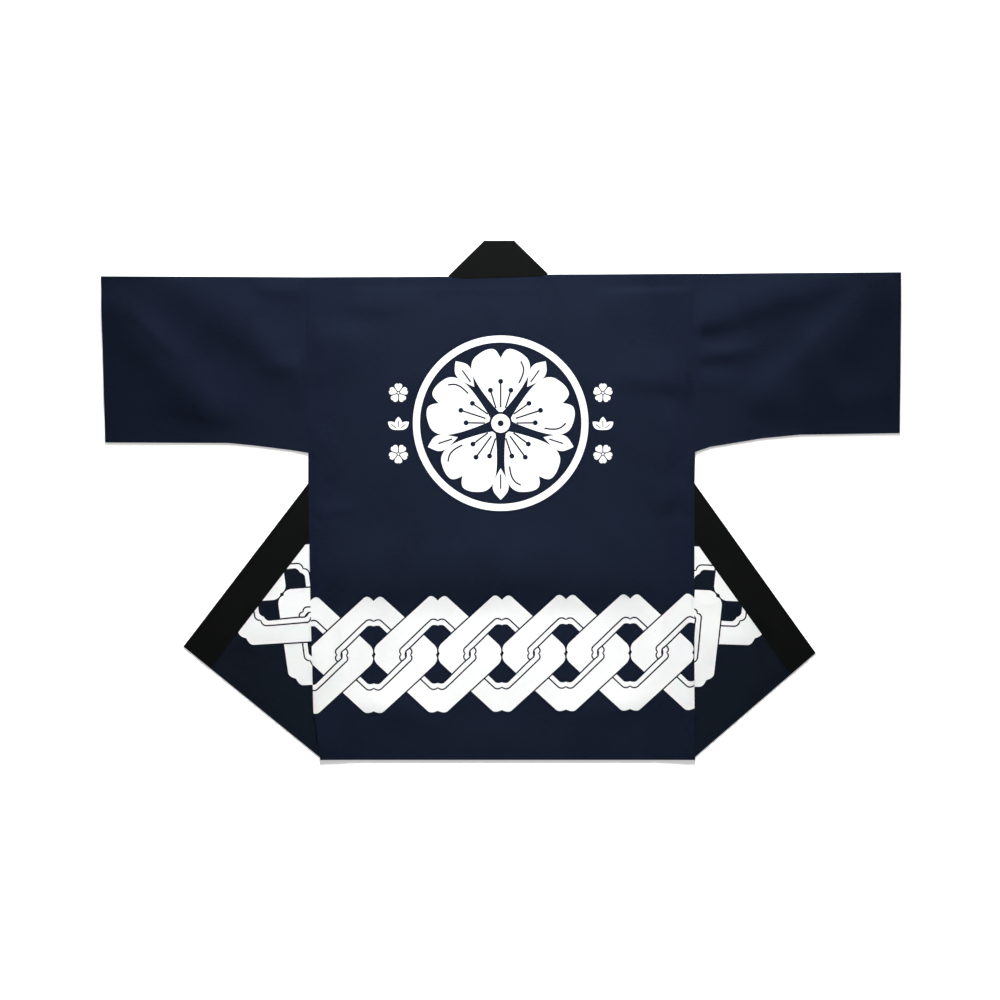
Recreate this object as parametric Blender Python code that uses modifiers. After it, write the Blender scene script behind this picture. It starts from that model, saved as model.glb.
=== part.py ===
"""Happi coat laid flat with its back up and both fronts turned out beneath it.

Every piece is cut flat as a pattern, scored where it bends, folded, and given its wall.
Plan points are (out, up): out from the coat's middle line to either side, up to the neck.
Sizes here are in millimetres; MM turns them into metres where the mesh is written.
"""
import math
from collections import namedtuple

import bmesh
import bpy
from mathutils import Vector

MM = 0.001

# Walls, and what they add to each other where they lie one on another
CLOTH = 1.0
BAND = 1.4
GAP = 0.3
LIFT = BAND + GAP
TURN_RADIUS = LIFT / 2
ROLL_RADIUS = (CLOTH + GAP) / 2
ROLL_PAST = 6.0
SCORES_PER_FOLD = 4

# A layer eases down beside what it lies on, between these distances from its outline
EASE_FROM = 2.5
EASE_RUN = 60.0
EASE_STEPS = 5

# The stiff neck, where all three layers of the collar band lie on each other
NECK_OUT = 92.0
NECK_LOW = 236.0
NECK_SEAM = ((-88.1, 368.0), (-62.5, 363.8), (65.8, 368.4), (79.0, 371.5))
HEM = -428.0

FRONT_CELL = 62.0
BACK_CELL = 32.0
SLEEVE_CELL = 21.0
SCORE_SNAP = 0.1
CELL_SNAP = 4.0

NAVY = "1B2236"
COLLAR_BLACK = "121413"

SIDES = {
    "left": {
        "sign": -1,
        "cuff_top": (659.0, 368.7),
        "cuff_low": (651.7, 94.6),
        "underarm": ((449.4, 93.8), (411.0, 90.2), (373.5, 85.6), (345.0, 82.0)),
        "armhole_top": (323.0, 367.2),
        "armpit": (317.2, 77.5),
        "side": ((317.2, 28.0), (313.6, -165.0), (308.6, -349.0)),
        "hem_corner": (297.6, HEM),
        "neck_top": (28.0, 426.9),
        "neck_base": (88.1, 368.0),
        "turn_head": (28.0, 406.6),
        "turn_foot": (296.4, -425.6),
        "turned_edge": ((317.2, 28.0),),
        "turned_corner": (523.1, -241.3),
        "band": 57.6,
    },
    "right": {
        "sign": 1,
        "cuff_top": (659.0, 375.3),
        "cuff_low": (656.8, 110.0),
        "underarm": ((492.2, 107.5), (430.0, 101.5), (374.3, 92.2), (345.0, 87.6)),
        "armhole_top": (316.0, 373.0),
        "armpit": (319.7, 79.0),
        "side": ((318.7, 28.0), (318.0, -165.0), (318.5, -349.0)),
        "hem_corner": (319.8, HEM),
        "neck_top": (22.2, 426.9),
        "neck_base": (79.0, 371.5),
        "turn_head": (26.3, 403.3),
        "turn_foot": (317.6, -425.2),
        "turned_edge": ((172.0, 221.0), (318.7, 28.0)),
        "turned_corner": (518.5, -252.0),
        "band": 54.5,
    },
}

# Broad folds that stand up from a lying panel, on the sleeves and across the back
Fold = namedtuple("Fold", "start end half_width height")
SLEEVE_FOLDS = {
    "left": (
        Fold((628.0, 330.0), (400.0, 134.0), 36.0, 2.8),
        Fold((540.0, 353.0), (345.0, 188.0), 32.0, 2.4),
        Fold((408.0, 352.0), (345.0, 345.0), 22.0, 1.2),
    ),
    "right": (
        Fold((622.0, 356.0), (410.0, 158.0), 38.0, 2.8),
        Fold((580.0, 360.0), (345.0, 296.0), 30.0, 2.3),
        Fold((428.0, 250.0), (345.0, 241.0), 22.0, 1.3),
    ),
}
BACK_FOLDS = (
    Fold((-270.0, -110.0), (-20.0, -121.0), 30.0, 2.4),
    Fold((60.0, -123.0), (270.0, -112.0), 30.0, 2.3),
    Fold((-290.0, 254.0), (-196.0, 248.0), 30.0, 1.7),
    Fold((190.0, 212.0), (290.0, 194.0), 28.0, 1.6),
    Fold((-240.0, -330.0), (-90.0, -362.0), 22.0, 1.0),
    Fold((110.0, -352.0), (250.0, -326.0), 22.0, 1.1),
)
FOLD_MARGIN = 26.0
FOLDED_OUT = 300.0
FOLDED_HIGH = 350.0

# A score is a line along which a piece is cut into cells, up to the lines that limit it
Line = namedtuple("Line", "point normal")
Score = namedtuple("Score", "line limits")
OUT = Vector((1.0, 0.0))
UP = Vector((0.0, 1.0))
MIDDLE = Line(Vector((0.0, 0.0)), -OUT)
MIDDLE_FOOT = (0.0, HEM)
FAR_OUT = (2000.0, 0.0)
FAR_UP = (300.0, 2000.0)
FAR_DOWN = (300.0, -2000.0)


# ---------------------------------------------------------------- lines and folds

def line_through(start, end, past):
    """The line from start to end, its normal pointing to the side where past lies."""
    start, end = Vector(start), Vector(end)
    along = (end - start).normalized()
    normal = Vector((along.y, -along.x))
    if normal.dot(Vector(past) - start) < 0:
        normal.negate()
    return Line(start, normal)


def shifted(line, distance):
    return Line(line.point + line.normal * distance, line.normal)


def beyond(point, line):
    """Distance of a point past the line, negative on the near side."""
    return (Vector(point) - line.point).dot(line.normal)


def crossing(first, second):
    """Where two lines cross."""
    along = Vector((-first.normal.y, first.normal.x))
    run = -beyond(first.point, second) / along.dot(second.normal)
    return first.point + along * run


def fold_under(point, line, radius):
    """Roll what lies past the line down and back beneath; gives the new point and its drop."""
    past = beyond(point, line)
    if past <= 0:
        return Vector(point), 0.0
    if past < math.pi * radius:
        angle = past / radius
        reach = radius * math.sin(angle)
        drop = radius * (1 - math.cos(angle))
    else:
        reach = math.pi * radius - past
        drop = 2 * radius
    return Vector(point) + line.normal * (reach - past), drop


def unfold(point, line, radius):
    """The place on the flat pattern of a point that ends up folded under the line."""
    back = -beyond(point, line)
    return Vector(point) + line.normal * (2 * back + math.pi * radius)


def fold_scores(line, radius, *limits):
    """The scores along which a fold bends, across its half round."""
    step = math.pi * radius / SCORES_PER_FOLD
    return [Score(shifted(line, step * index), limits) for index in range(SCORES_PER_FOLD + 1)]


def ease_scores(line, *limits):
    """The scores along which a layer eases down beside an edge."""
    step = EASE_RUN / EASE_STEPS
    offsets = [EASE_FROM + step * index for index in range(EASE_STEPS + 1)]
    return [Score(shifted(line, offset), limits) for offset in offsets]


def neck_scores():
    """The scores beside the stiff neck, on the out side and below it."""
    outer, lower = neck_block()
    reach = EASE_FROM + EASE_RUN
    beside = ease_scores(outer, MIDDLE, shifted(lower, reach))
    return beside + ease_scores(lower, MIDDLE, shifted(outer, reach))


def lying_scores(side):
    """The scores where a layer lies over the edges of one turned front."""
    side_edge = Line(Vector(side["turned_edge"][-1]), -UP)
    return ease_scores(turned_edge_line(side), MIDDLE, turn_line(side), side_edge) + neck_scores()


def mirrored(score):
    """The same score on the coat's left side, where plan points run the other way."""
    def flip(line):
        return Line(Vector((-line.point.x, line.point.y)), Vector((-line.normal.x, line.normal.y)))

    return Score(flip(score.line), tuple(flip(limit) for limit in score.limits))


# ---------------------------------------------------------------- layers

def eased(distance):
    run = min(max((distance - EASE_FROM) / EASE_RUN, 0.0), 1.0)
    return 1 - run * run * (3 - 2 * run)


def cover(point, edges):
    """1 where a piece with these edges lies beneath, easing to 0 outside of it."""
    return eased(max(beyond(point, edge) for edge in edges))


def turn_line(side):
    """The slanting fold from the hem's corner to the neck, past it towards the middle."""
    return line_through(side["turn_foot"], side["turn_head"], MIDDLE_FOOT)


def neck_line(side):
    """The slanting fold at the end of the back neck, past it towards the shoulder."""
    edge = line_through(side["neck_top"], side["neck_base"], FAR_OUT)
    return shifted(edge, -(TURN_RADIUS + BAND / 2))


def roll_line(side):
    """The fold over the shoulder, where the back rolls down to meet the front."""
    edge = line_through(side["neck_base"], side["armhole_top"], FAR_UP)
    return shifted(edge, -(ROLL_RADIUS + CLOTH / 2))


def armhole_line(side):
    return line_through(side["armhole_top"], side["armpit"], FAR_OUT)


def neck_side_line(side):
    """The end of the shoulder at the neck, just out of the collar band."""
    return Line(Vector(side["neck_base"]) + OUT * GAP, -OUT)


def turned_edge_line(side):
    """The upper, hidden stretch of the turned front's free edge, past it outwards."""
    return line_through(side["turn_head"], side["turned_edge"][0], FAR_OUT)


def neck_block():
    return Line(Vector((NECK_OUT, 0.0)), OUT), Line(Vector((0.0, NECK_LOW)), -UP)


def lift_of_turned(point, side):
    """How far the turned part of a front lifts what lies on it, as a share of LIFT."""
    edges = (turn_line(side), turned_edge_line(side))
    return max(cover(point, edges), cover(point, neck_block()))


def lift_of_front(point, side):
    return max(cover(point, (turn_line(side),)), cover(point, neck_block()))


def back_height(point, side):
    """Underside of the back, above everything that lies beneath it."""
    fronts = LIFT * lift_of_turned(point, side) + (CLOTH + GAP) * lift_of_front(point, side)
    return fronts + (BAND - CLOTH) * cover(point, neck_block())


def fold_relief(point, folds, edges):
    """Height of the broad folds at a point, nothing along the edges given."""
    height = 0.0
    for fold in folds:
        start, end = Vector(fold.start), Vector(fold.end)
        along = end - start
        share = (Vector(point) - start).dot(along) / along.length_squared
        nearest = start + along * min(max(share, 0.0), 1.0)
        off = (Vector(point) - nearest).length / fold.half_width
        height += fold.height * math.exp(-off * off)
    room = min(-beyond(point, edge) for edge in edges)
    fade = min(max(room / FOLD_MARGIN, 0.0), 1.0)
    return height * fade * fade * (3 - 2 * fade)


# ---------------------------------------------------------------- making a piece

def cut_sheet(sheet, score, snap):
    """Cut the faces of a flat sheet along one score, as far as its limits."""
    faces = []
    for face in sheet.faces:
        corners = [corner.co.xy for corner in face.verts]
        reaches = [min(beyond(corner, limit) for corner in corners) for limit in score.limits]
        if all(reach < -SCORE_SNAP for reach in reaches):
            faces.append(face)
    edges = {edge for face in faces for edge in face.edges}
    corners = {corner for face in faces for corner in face.verts}
    bmesh.ops.bisect_plane(sheet, geom=[*corners, *edges, *faces], dist=snap,
                           plane_co=score.line.point.to_3d(), plane_no=score.line.normal.to_3d())


def scored_sheet(outline, scores, cell):
    """A flat sheet of this outline, cut along its scores and into cells."""
    sheet = bmesh.new()
    corners = [sheet.verts.new((point[0], point[1], 0.0)) for point in outline]
    sheet.faces.new(corners)
    for score in scores:
        cut_sheet(sheet, score, SCORE_SNAP)
    for axis, normal in enumerate((OUT, UP)):
        low = min(point[axis] for point in outline)
        high = max(point[axis] for point in outline)
        count = max(1, round((high - low) / cell))
        for index in range(1, count):
            at = normal * (low + (high - low) * index / count)
            cut_sheet(sheet, Score(Line(at, normal), ()), CELL_SNAP)
    bmesh.ops.triangulate(sheet, faces=sheet.faces[:])
    return sheet


def make_piece(name, outline, scores, cell, wall, place, material):
    """Cut a sheet, move each of its points with place(), and give it its wall."""
    sheet = scored_sheet(outline, scores, cell)
    for vertex in sheet.verts:
        out, up, height = place(vertex.co.xy)
        vertex.co = Vector((out, up, height)) * MM
    bmesh.ops.recalc_face_normals(sheet, faces=sheet.faces[:])
    mesh = bpy.data.meshes.new(name)
    sheet.to_mesh(mesh)
    sheet.free()
    mesh.shade_smooth()
    mesh.set_sharp_from_angle(angle=math.radians(50))
    mesh.materials.append(material)
    piece = bpy.data.objects.new(name, mesh)
    walls = piece.modifiers.new("wall", "SOLIDIFY")
    walls.thickness = wall * MM
    walls.offset = 0.0
    walls.use_even_offset = True
    walls.use_quality_normals = True
    COAT.objects.link(piece)
    return piece


def cloth_material(name, colour, roughness):
    material = bpy.data.materials.new(name)
    material.use_nodes = True
    surface = material.node_tree.nodes["Principled BSDF"]
    shares = [int(colour[at:at + 2], 16) / 255 for at in (0, 2, 4)]
    linear = [((share + 0.055) / 1.055) ** 2.4 if share > 0.04045 else share / 12.92
              for share in shares]
    surface.inputs["Base Color"].default_value = (*linear, 1.0)
    surface.inputs["Roughness"].default_value = roughness
    surface.inputs["Metallic"].default_value = 0.0
    material.diffuse_color = (*linear, 1.0)
    return material


# ---------------------------------------------------------------- sleeves

def sleeve(name, side, folds, material):
    """One cloth folded over the shoulder line, its two layers meeting under the arm."""
    top_edge = line_through(side["armhole_top"], side["cuff_top"], FAR_UP)
    top_line = shifted(top_edge, -(ROLL_RADIUS + CLOTH / 2))
    seam = shifted(armhole_line(side), GAP)
    armpit = Vector(side["armpit"]) + OUT * GAP
    cuff = crossing(top_line, line_through(side["cuff_top"], side["cuff_low"], FAR_OUT))
    shoulder = crossing(top_line, seam)
    under = [armpit, *(Vector(point) for point in reversed(side["underarm"]))]
    under.append(Vector(side["cuff_low"]))
    upper = [shoulder, *under, cuff]
    lower = [unfold(point, top_line, ROLL_RADIUS) for point in (cuff, *reversed(under), shoulder)]
    edges = (top_edge, Line(seam.point, -seam.normal),
             line_through(side["underarm"][0], side["cuff_low"], FAR_DOWN),
             line_through(side["armpit"], side["underarm"][0], FAR_DOWN))

    def place(point):
        lying, drop = fold_under(point, top_line, ROLL_RADIUS)
        height = CLOTH / 2 + 2 * ROLL_RADIUS - drop + LIFT * lift_of_turned(lying, side)
        if drop == 0.0:
            height += fold_relief(lying, folds, edges)
        return lying.x * side["sign"], lying.y, height

    scores = fold_scores(top_line, ROLL_RADIUS)
    return make_piece(name, upper + lower, scores, SLEEVE_CELL, CLOTH, place, material)


# ---------------------------------------------------------------- fronts

def band_seam(side, gap):
    """The turned front's seam with its band, this far past the band's own edge."""
    edge = line_through(side["turned_edge"][-1], side["turned_corner"], MIDDLE_FOOT)
    return shifted(edge, side["band"] + gap)


def hem_line(side):
    return line_through(side["turned_corner"], side["turn_foot"], FAR_DOWN)


def front(name, side, material):
    """A front panel, turned out beneath itself along the slanting fold."""
    turn = turn_line(side)
    seam = band_seam(side, GAP)
    seam_head = crossing(seam, turn)
    seam_foot = crossing(seam, hem_line(side))
    foot = Vector(side["turn_foot"])
    shoulder = shifted(roll_line(side), -(ROLL_PAST + GAP))
    lying = [seam_head, crossing(shoulder, neck_side_line(side))]
    lying.append(crossing(shoulder, armhole_line(side)))
    lying += [Vector(point) for point in (side["armpit"], *side["side"])]
    lying.append(foot)
    turned = [unfold(point, turn, TURN_RADIUS) for point in (foot, seam_foot, seam_head)]

    def place(point):
        flat, drop = fold_under(point, turn, TURN_RADIUS)
        height = CLOTH / 2 + LIFT - drop
        if drop == 0.0:
            height = CLOTH / 2 + LIFT * lift_of_turned(flat, side)
        return flat.x * side["sign"], flat.y, height

    scores = fold_scores(turn, TURN_RADIUS) + lying_scores(side)
    return make_piece(name, lying + turned, scores, FRONT_CELL, CLOTH, place, material)


# ---------------------------------------------------------------- back

def back(name, material):
    """The back panel, rolled over the shoulders and easing down between the fronts."""
    scores = [Score(MIDDLE, ())]
    outline = []
    rolls = {}
    for side in SIDES.values():
        sign = side["sign"]
        roll, armhole, neck = roll_line(side), armhole_line(side), neck_side_line(side)
        rolls[sign] = roll
        seam = shifted(roll, -ROLL_PAST)
        corners = [Vector(side["hem_corner"]), *(Vector(p) for p in reversed(side["side"]))]
        corners += [Vector(side["armpit"]), crossing(armhole, roll)]
        corners.append(unfold(crossing(seam, armhole), roll, ROLL_RADIUS))
        corners.append(unfold(crossing(seam, neck), roll, ROLL_RADIUS))
        corners.append(Vector((neck.point.x, side["neck_base"][1] - GAP)))
        half = [Vector((corner.x * sign, corner.y)) for corner in corners]
        outline += half if sign < 0 else reversed(half)
        if sign < 0:
            outline += [Vector((out, up - GAP)) for out, up in NECK_SEAM[1:-1]]
        lines = fold_scores(roll, ROLL_RADIUS, neck)
        lines += ease_scores(turn_line(side), MIDDLE) + lying_scores(side)
        scores += lines if sign > 0 else [mirrored(line) for line in lines]
    edges = (Line(Vector((0.0, FOLDED_HIGH)), UP),
             Line(Vector((0.0, HEM)), -UP),
             Line(Vector((FOLDED_OUT, 0.0)), OUT),
             Line(Vector((-FOLDED_OUT, 0.0)), -OUT))

    def place(point):
        side = SIDES["left"] if point.x < 0 else SIDES["right"]
        sign = side["sign"]
        out = Vector((abs(point.x), point.y))
        flat, drop = Vector(out), 0.0
        if out.x > side["neck_base"][0]:
            flat, drop = fold_under(out, rolls[sign], ROLL_RADIUS)
        height = CLOTH / 2 + back_height(flat, side) - drop
        if drop == 0.0:
            height += fold_relief(point, BACK_FOLDS, edges)
        return flat.x * sign, flat.y, height

    return make_piece(name, outline, scores, BACK_CELL, CLOTH, place, material)


# ---------------------------------------------------------------- collar

def collar(name, material):
    """One doubled band: round the back neck, down each front, and turned out with it."""
    scores = [Score(MIDDLE, ())]
    free_edge = []
    seam_edge = []
    folds = {}
    for side in SIDES.values():
        sign = side["sign"]
        at_neck, turn = neck_line(side), turn_line(side)
        folds[sign] = (at_neck, turn)
        seam_head = crossing(band_seam(side, 0.0), turn)
        seam_foot = crossing(band_seam(side, 0.0), hem_line(side))
        top = crossing(at_neck, Line(Vector(side["neck_top"]), UP))
        base = crossing(at_neck, Line(Vector(side["neck_base"]), UP))

        def once(point, at_neck=at_neck):
            return unfold(point, at_neck, TURN_RADIUS)

        def twice(point, turn=turn, once=once):
            return once(unfold(point, turn, TURN_RADIUS))

        head = Vector(side["turn_head"])
        free = [top, once(top), once(head), twice(head)]
        free += [twice(point) for point in side["turned_edge"]]
        free.append(twice(side["turned_corner"]))
        seam = [twice(seam_foot), twice(seam_head), once(seam_head), once(base), base]
        free = [Vector((point.x * sign, point.y)) for point in free]
        seam = [Vector((point.x * sign, point.y)) for point in seam]
        free_edge.append(free)
        seam_edge.append(seam)
        lines = fold_scores(at_neck, TURN_RADIUS, MIDDLE)
        for score in fold_scores(turn, TURN_RADIUS):
            lines.append(Score(unfolded_line(score.line, at_neck), (MIDDLE,)))
        scores += lines if sign > 0 else [mirrored(line) for line in lines]
    outline = free_edge[0][::-1] + free_edge[1] + seam_edge[1]
    outline += [Vector(point) for point in reversed(NECK_SEAM[1:-1])]
    outline += seam_edge[0][::-1]

    def place(point):
        side = SIDES["left"] if point.x < 0 else SIDES["right"]
        sign = side["sign"]
        at_neck, turn = folds[sign]
        flat, drop = fold_under((abs(point.x), point.y), at_neck, TURN_RADIUS)
        if drop >= LIFT - 1e-6:
            flat, second = fold_under(flat, turn, TURN_RADIUS)
            drop += second
        return flat.x * sign, flat.y, BAND / 2 + 2 * LIFT - drop

    return make_piece(name, outline, scores, FRONT_CELL, BAND, place, material)


def unfolded_line(line, fold):
    """The same line on the pattern, where it lies past the given fold."""
    start = unfold(line.point, fold, TURN_RADIUS)
    along = Vector((-line.normal.y, line.normal.x))
    end = unfold(line.point + along, fold, TURN_RADIUS)
    past = unfold(line.point + line.normal, fold, TURN_RADIUS)
    return line_through(start, end, past)


# ---------------------------------------------------------------- the coat

for old in list(bpy.data.objects):
    bpy.data.objects.remove(old, do_unlink=True)
COAT = bpy.data.collections.new("happi_coat")
bpy.context.scene.collection.children.link(COAT)

navy_cotton = cloth_material("navy_cotton", NAVY, 0.85)
black_cotton = cloth_material("black_cotton", COLLAR_BLACK, 0.9)

back("back_panel", navy_cotton)
for side_name, side_sizes in SIDES.items():
    front("front_" + side_name, side_sizes, navy_cotton)
    sleeve("sleeve_" + side_name, side_sizes, SLEEVE_FOLDS[side_name], navy_cotton)
collar("collar", black_cotton)
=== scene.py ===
"""Happi coat laid flat, back up, with both fronts turned out beneath it.

Each cloth is a flat pattern in millimetres, cut fine, folded over and laid on what is beneath it.
Plan points are (out, up): out from the coat's middle line to either side, up to the neck.
The prints are cut in the same triangles as their cloth and lie on it as a film of ink.
"""
import math
from collections import namedtuple

import bpy
import numpy as np
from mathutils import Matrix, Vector, geometry, kdtree, noise


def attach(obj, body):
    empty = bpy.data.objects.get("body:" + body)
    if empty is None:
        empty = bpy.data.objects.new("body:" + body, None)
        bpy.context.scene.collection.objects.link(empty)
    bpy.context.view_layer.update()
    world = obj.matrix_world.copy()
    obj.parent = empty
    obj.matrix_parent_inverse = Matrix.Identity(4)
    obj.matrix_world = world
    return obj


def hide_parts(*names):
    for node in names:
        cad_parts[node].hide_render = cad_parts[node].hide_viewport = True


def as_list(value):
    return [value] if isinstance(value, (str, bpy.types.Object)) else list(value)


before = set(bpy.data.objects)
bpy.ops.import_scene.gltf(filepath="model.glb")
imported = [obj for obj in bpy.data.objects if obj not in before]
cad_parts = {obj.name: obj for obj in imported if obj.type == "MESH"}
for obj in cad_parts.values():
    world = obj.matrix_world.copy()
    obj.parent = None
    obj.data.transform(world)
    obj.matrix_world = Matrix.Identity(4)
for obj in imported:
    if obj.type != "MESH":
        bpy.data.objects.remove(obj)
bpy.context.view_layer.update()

MM = 0.001

# Room for a layer of cloth and of the doubled band, and between two layers
CLOTH = 1.0
BAND = 1.4
GAP = 0.3
# Fronts and band lift what lies on them by this much, and turn under round half of it
LIFT = BAND + GAP
TURN_RADIUS = LIFT / 2
# Back and sleeves roll tighter over the shoulder, the back this far past it
ROLL_RADIUS = (CLOTH + GAP) / 2
ROLL_PAST = 6.0
FOLD_STEPS = 5
CLOTH_WALL = 0.9
BAND_WALL = 1.3
SEAM_GAP = 0.02

# A layer eases down beside what it lies on, from this far off its outline, over this run
EASE_FROM = 2.5
EASE_RUN = 60.0

# The layers crossing at the neck reach this far out and this low
NECK_OUT = 92.0
NECK_LOW = 236.0
# The back's seam with the band, from left to right
NECK_SEAM = ((-88.1, 368.0), (-62.5, 363.8), (65.8, 368.4), (79.0, 371.5))
HEM = -428.0

SIDES = {
    "left": {
        "sign": -1,
        "cuff_top": (659.0, 368.7),
        "cuff_low": (651.7, 94.6),
        "underarm": ((449.4, 93.8), (411.0, 90.2), (373.5, 85.6), (345.0, 82.0)),
        "armhole_top": (323.0, 367.2),
        "armpit": (317.2, 77.5),
        "side": ((317.2, 28.0), (313.6, -165.0), (308.6, -349.0)),
        "hem_corner": (297.6, HEM),
        "neck_top": (28.0, 426.9),
        "neck_base": (88.1, 368.0),
        "turn_head": (28.0, 406.6),
        "turn_foot": (296.4, -425.6),
        "turned_edge": ((317.2, 28.0),),
        "turned_corner": (523.1, -241.3),
        "band": 57.6,
        "first_link": (-9.2, 168.8),
    },
    "right": {
        "sign": 1,
        "cuff_top": (659.0, 375.3),
        "cuff_low": (656.8, 110.0),
        "underarm": ((492.2, 107.5), (430.0, 101.5), (374.3, 92.2), (345.0, 87.6)),
        "armhole_top": (316.0, 373.0),
        "armpit": (319.7, 79.0),
        "side": ((318.7, 28.0), (318.0, -165.0), (318.5, -349.0)),
        "hem_corner": (319.8, HEM),
        "neck_top": (22.2, 426.9),
        "neck_base": (79.0, 371.5),
        "turn_head": (26.3, 403.3),
        "turn_foot": (317.6, -425.2),
        "turned_edge": ((172.0, 221.0), (318.7, 28.0)),
        "turned_corner": (518.5, -252.0),
        "band": 54.5,
        "first_link": (-6.0, 176.8),
    },
}

Line = namedtuple("Line", "point normal")
# A soft ridge: its path, its reach to the right and left of the path, and its height
Crease = namedtuple("Crease", "path right left height")
# Uneven small heights: up to how high, how far across, and a seed of their own
Rumple = namedtuple("Rumple", "height size seed")
# A closed outline of a print, filled with ink or left bare
Shape = namedtuple("Shape", "points ink")
OUT = np.array((1.0, 0.0))
UP = np.array((0.0, 1.0))
# Places far off, to say which side of a line is past it
FAR_OUT = (2000.0, 0.0)
FAR_UP = (300.0, 2000.0)
FAR_DOWN = (300.0, -2000.0)
MIDDLE_FOOT = (0.0, HEM)
# Longer than any cloth
REACH = 1600.0
TINY = 1e-6


# -------- lines and folds

def line_through(start, end, past):
    """The line from start to end, its normal pointing to the side where past lies."""
    start, end, past = (np.array(point, float) for point in (start, end, past))
    along = (end - start) / np.linalg.norm(end - start)
    normal = np.array((along[1], -along[0]))
    return Line(start, normal if normal @ (past - start) > 0 else -normal)


def shifted(line, distance):
    return Line(line.point + line.normal * distance, line.normal)


def beyond(points, line):
    """Distance of points past the line, negative on the near side."""
    return (np.asarray(points, float) - line.point) @ line.normal


def crossing(first, second):
    along = np.array((-first.normal[1], first.normal[0]))
    return first.point - along * beyond(first.point, second) / (along @ second.normal)


def fold_under(points, line, radius):
    """Roll what lies past the line down and back beneath; gives the new points and drops."""
    past = beyond(points, line)
    angle = np.clip(past / radius, 0.0, math.pi)
    round_it = np.where(past < 0.0, past, radius * np.sin(angle))
    reach = np.where(past > math.pi * radius, math.pi * radius - past, round_it)
    return points + (reach - past)[:, None] * line.normal, radius * (1 - np.cos(angle))


def unfold(point, line, radius):
    """The place on the flat pattern of a point that ends up folded under the line."""
    back = -beyond(point, line)
    return np.asarray(point, float) + (2 * back + math.pi * radius)[..., None] * line.normal


def ends_of(line, *limits):
    """The two ends of a long stretch of the line, cut off at the limits."""
    along = np.array((-line.normal[1], line.normal[0]))
    low, high = -REACH, REACH
    for limit in limits:
        rate = along @ limit.normal
        if abs(rate) > TINY:
            stop = -beyond(line.point, limit) / rate
            low, high = (low, min(high, stop)) if rate > 0 else (max(low, stop), high)
    return [line.point + along * low, line.point + along * high]


def fold_scores(line, radius, *limits):
    """Stretches along which a fold bends, across its half round."""
    step = math.pi * radius / FOLD_STEPS
    return [ends_of(shifted(line, step * index), *limits) for index in range(FOLD_STEPS + 1)]


# -------- the coat's lines

def turn_line(side):
    """The slanting fold from the hem's corner to the neck, past it towards the middle."""
    return line_through(side["turn_foot"], side["turn_head"], MIDDLE_FOOT)


def neck_line(side):
    """The slanting fold at the end of the back neck, past it towards the shoulder."""
    edge = line_through(side["neck_top"], side["neck_base"], FAR_OUT)
    return shifted(edge, -(TURN_RADIUS + BAND / 2))


def roll_line(side):
    """The fold over the shoulder, where the back rolls down to meet the front."""
    edge = line_through(side["neck_base"], side["armhole_top"], FAR_UP)
    return shifted(edge, -(ROLL_RADIUS + CLOTH / 2))


def armhole_line(side):
    return line_through(side["armhole_top"], side["armpit"], FAR_OUT)


def neck_side_line(side):
    return Line(np.array(side["neck_base"]) + OUT * SEAM_GAP, -OUT)


def band_seam(side, gap):
    """The turned front's seam with its band, this far past the band's own edge."""
    edge = line_through(side["turned_edge"][-1], side["turned_corner"], MIDDLE_FOOT)
    return shifted(edge, side["band"] + gap)


def hem_line(side):
    return line_through(side["turned_corner"], side["turn_foot"], FAR_DOWN)


# -------- layers

def smooth(share):
    """From 0 to 1 in a soft S."""
    share = np.clip(share, 0.0, 1.0)
    return share * share * (3 - 2 * share)


def cover(points, *edges):
    """1 where a piece with these edges lies beneath, easing to 0 outside of it."""
    past = np.max([beyond(points, edge) for edge in edges], axis=0)
    return 1 - smooth((past - EASE_FROM) / EASE_RUN)


def over_neck(points):
    return cover(points, Line(OUT * NECK_OUT, OUT), Line(UP * NECK_LOW, -UP))


def lift_of_turned(points, side):
    """How far the turned part of a front lifts what lies on it, as a share of LIFT."""
    edge = line_through(side["turn_head"], side["turned_edge"][0], FAR_OUT)
    return np.maximum(cover(points, turn_line(side), edge), over_neck(points))


def lift_of_front(points, side):
    return np.maximum(cover(points, turn_line(side)), over_neck(points))


def back_height(points, side):
    """Underside of the back, above everything that lies beneath it."""
    fronts = LIFT * lift_of_turned(points, side) + (CLOTH + GAP) * lift_of_front(points, side)
    return fronts + (BAND - CLOTH) * over_neck(points)


# -------- creases

# Paths are points on the laid coat, left of the middle line negative
SLEEVE_CREASES = {
    "left": (
        Crease(((-644, 344), (-600, 278), (-544, 219), (-494, 166), (-462, 112)), 44, 38, 10),
        Crease(((-556, 370), (-446, 297), (-368, 238), (-310, 176), (-284, 144)), 38, 40, 7.4),
        Crease(((-628, 332), (-598, 300), (-560, 262), (-520, 226)), 9, 13, 2.4),
        Crease(((-398, 216), (-360, 219), (-318, 222)), 10, 14, 2.2),
        Crease(((-408, 352), (-366, 343), (-318, 346)), 12, 15, 2.8),
        Crease(((-654, 322), (-622, 304), (-590, 308)), 16, 18, 1.6),
    ),
    "right": (
        Crease(((640, 380), (578, 318), (538, 273), (483, 216), (396, 152)), 25, 56, 10),
        Crease(((590, 362), (470, 336), (390, 310), (316, 284)), 34, 22, 6.4),
        Crease(((392, 300), (344, 292), (310, 288)), 32, 18, 4.8),
        Crease(((428, 250), (376, 242), (314, 241)), 15, 13, 4.2),
        Crease(((380, 199), (344, 193), (314, 194)), 15, 15, 2.4),
        Crease(((640, 190), (590, 160), (540, 126)), 20, 30, 2),
    ),
}
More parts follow.
